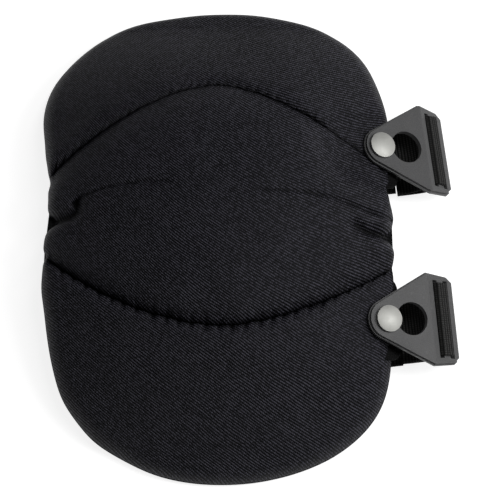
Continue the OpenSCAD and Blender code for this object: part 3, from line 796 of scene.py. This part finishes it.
def moulded(name, base):
    """Moulded plastic with a fine spark-eroded grain."""
    n = Nodes(name)
    co = n.add("ShaderNodeTexCoord").outputs["Object"]
    grain = n.noise(co, 2600.0, 3.0, 0.7)
    patch = n.noise(co, 60.0, 3.0)
    light = tuple(k * 1.35 for k in base)
    dark = tuple(k * 0.72 for k in base)
    tone = n.math("ADD", n.ramp(grain, 0.3, 0.7), n.math("MULTIPLY", n.math("SUBTRACT", patch, 0.5), 0.25))
    n.bsdf.inputs["Specular IOR Level"].default_value = 0.22
    scuff = n.ramp(n.noise(co, 420.0, 2.0), 0.66, 0.74, 0.0, 0.35)
    colour = n.mix(scuff, n.mix(tone, dark, light), tuple(k * 1.8 for k in base))
    normal = n.bump(grain, 0.00012, 0.7)
    return n.finish(Base_Color=colour, Roughness=n.ramp(patch, 0.3, 0.7, 0.42, 0.55), Normal=normal)


def satin_metal(name, base, rough=0.36):
    n = Nodes(name)
    co = n.add("ShaderNodeTexCoord").outputs["Object"]
    grain = n.noise(co, 1800.0, 3.0, 0.6)
    patch = n.noise(co, 180.0, 4.0)
    colour = n.mix(n.ramp(patch, 0.35, 0.65), tuple(k * 0.9 for k in base), base)
    normal = n.bump(grain, 0.00004, 0.6)
    n.bsdf.inputs["Metallic"].default_value = 0.75
    roughness = n.ramp(patch, 0.3, 0.7, rough - 0.05, rough + 0.08)
    return n.finish(Base_Color=colour, Roughness=roughness, Normal=normal)


def patch_cloth(name):
    """Plain dark cloth of the sewn patches."""
    n = Nodes(name)
    grain = n.noise(n.add("ShaderNodeTexCoord").outputs["Object"], 900.0)
    colour = n.mix(grain, (0.003, 0.003, 0.003), (0.03, 0.03, 0.032))
    return n.finish(Base_Color=colour, Roughness=0.85, Normal=n.bump(grain, 0.0002))


# the black cover cloth: its dark colour is painted shade in the weave's gaps, its light colour the yarn tops
# with painted highlight
CLOTH_SHADED_GAP, CLOTH_LIT_YARN = (0.0003, 0.0003, 0.0004), (0.046, 0.045, 0.057)
# Slope and turn of each panel's lines
COVER_TWILLS = (("thigh", -0.60, 7.0), ("knee", -0.70, 6.0), ("shin", -0.68, 3.0))
cover_mat = {panel: twill("cover_twill_" + panel, slope, turn, 0.00118, CLOTH_SHADED_GAP, CLOTH_LIT_YARN)
             for panel, slope, turn in COVER_TWILLS}
lining_mat = twill("lining_knit", -0.2, 0.0, 0.0016, (0.002, 0.002, 0.0022), (0.02, 0.02, 0.022),
                   depth=0.0002, rough=0.9, with_painted_shade=False)
tape_mat = webbing("binding_weave", (0.001, 0.001, 0.0012), (0.015, 0.015, 0.016), 0.0009, 0.0012)
tab_mat = webbing("tab_weave", (0.0002, 0.0002, 0.0003), (0.004, 0.004, 0.004), 0.0011, 0.0016)
elastic_mat = webbing("elastic_weave", (0.0015, 0.0015, 0.0015), (0.040, 0.040, 0.039), 0.0017, 0.0011)
slide_mat = moulded("slide_plastic_grain", (0.062, 0.062, 0.063))
cap_mat = satin_metal("button_satin", (0.40, 0.40, 0.38), 0.6)
post_mat = satin_metal("button_post_satin", (0.36, 0.36, 0.34), 0.3)


def dress(obj, material):
    obj.data.materials.clear()
    obj.data.materials.append(material)


# ---------------------------------------------------------------- what stands for what

for panel, obj in cushions.items():
    dress(obj, cover_mat[panel])
    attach(obj, "pad")
    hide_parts(panel + "_cover", panel + "_foam")

dress(lining_pad, lining_mat)
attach(lining_pad, "pad")
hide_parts("lining", "comfort_foam")

dress(binding, tape_mat)
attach(binding, "pad")
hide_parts("edge_binding")

nodes = frame["nodes"]
for which in ("upper", "lower"):
    loop, slack, run, (near_end, split_end, far_end) = strap_pieces(which)
    for obj in (loop, slack, run):
        dress(obj, elastic_mat)
    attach(loop, which + "_slide_body")
    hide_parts(which + "_strap_loop")
    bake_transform(slack)
    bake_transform(run)
    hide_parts(which + "_strap")
    tab = tab_piece(which)
    dress(tab, tab_mat)
    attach(tab, "pad")
    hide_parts(which + "_tab")
    for name, material, slot in (
        (which + "_slide", slide_mat, "slide_plastic"),
        (which + "_button_cap", cap_mat, "button_metal"),
        (which + "_button_post", post_mat, "button_post_metal"),
        (which + "_button_washer", post_mat, "button_post_metal"),
    ):
        dress(nodes[name], material)
    dress(nodes[which + "_strap_anchor"], patch_cloth(which + "_patch_cloth"))

# ---------------------------------------------------------------- stage, light and camera

FLOOR_HALF = 3.0
floor_mesh = bpy.data.meshes.new("floor")
floor_mesh.from_pydata([(x * FLOOR_HALF, y * FLOOR_HALF, 0) for x, y in ((-1, -1), (1, -1), (1, 1), (-1, 1))],
                       [], [(0, 1, 2, 3)])
floor = linked("floor", floor_mesh)
floor_nodes = Nodes("studio_floor")
floor.data.materials.append(floor_nodes.finish(
    Base_Color=(0.4, 0.4, 0.4, 1), Roughness=0.9, Emission_Color=(1, 1, 1, 1), Emission_Strength=0.85))


def area_light(name, place, aim, size, power):
    data = bpy.data.lights.new(name, "AREA")
    data.shape = "RECTANGLE"
    data.size, data.size_y = size
    data.energy = power
    obj = linked(name, data)
    obj.location = place
    obj.rotation_euler = (Vector(aim) - Vector(place)).to_track_quat("-Z", "Y").to_euler()


area_light("key", (0.95, 0.06, 1.0), (0.0, 0.0, 0.02), (0.45, 0.8), 13)
area_light("gloss", (0.33, 0.30, 1.2), (0.0, 0.0, 0.02), (0.2, 0.6), 4)
area_light("side", (1.1, -0.1, 0.6), (0.03, 0.0, 0.03), (0.4, 0.7), 1.5)
area_light("front", (0.1, -1.2, 0.9), (0, 0, 0.02), (0.8, 0.5), 0.3)

world = bpy.data.worlds.new("studio")
bpy.context.scene.world = world
world.use_nodes = True
background = world.node_tree.nodes["Background"]
background.inputs["Color"].default_value = (1, 1, 1, 1)
background.inputs["Strength"].default_value = 0.05

CAMERA_D, CAMERA_EL = 1.4, 76.0    # distance in metres and height in degrees
VIEW_W, SENSOR_W = 0.255, 36       # width of the view at that distance in metres, and of the sensor in mm
target = (CENTRE + [16.3, -8.7, 25.0]) * MM
elevation = math.radians(CAMERA_EL)
camera_data = bpy.data.cameras.new("camera")
camera_data.lens = CAMERA_D / VIEW_W * SENSOR_W
camera_data.sensor_width = SENSOR_W
camera_data.clip_start, camera_data.clip_end = 0.05, 20
camera = linked("camera", camera_data)
back, up = CAMERA_D * math.cos(elevation), CAMERA_D * math.sin(elevation)
camera.location = (target[0], target[1] - back, target[2] + up)
camera.rotation_euler = (math.radians(90 - CAMERA_EL), 0, 0)
bpy.context.scene.camera = camera
bpy.context.scene.view_settings.view_transform = "Standard"
